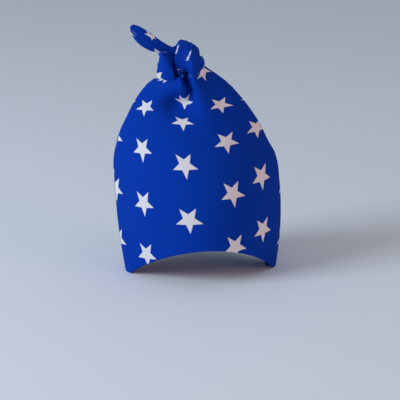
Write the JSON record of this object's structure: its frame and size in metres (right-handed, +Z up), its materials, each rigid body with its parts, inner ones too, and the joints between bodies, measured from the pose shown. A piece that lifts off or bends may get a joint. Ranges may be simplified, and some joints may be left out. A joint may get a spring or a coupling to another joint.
{
  "type": "egg cosy",
  "caption": "Soft hollow egg cosy of two sewn cotton panels, its long top tied in a knot with a short loose end, standing on an arched hem.",
  "frame": {"origin": "on the surface that the hem rests on, at the middle of the cosy's width and depth", "axes": "+Z up, +X to the right from the left seam to the right seam, the front panel faces -Y"},
  "size_m": [0.0608, 0.048, 0.0909],
  "materials": {
    "printed_cotton": "plain-weave royal blue cotton printed with small white five-pointed stars, matt"
  },
  "bodies": {
    "root": {"front_panel": "printed_cotton", "back_panel": "printed_cotton"}
  },
  "joints": []
}
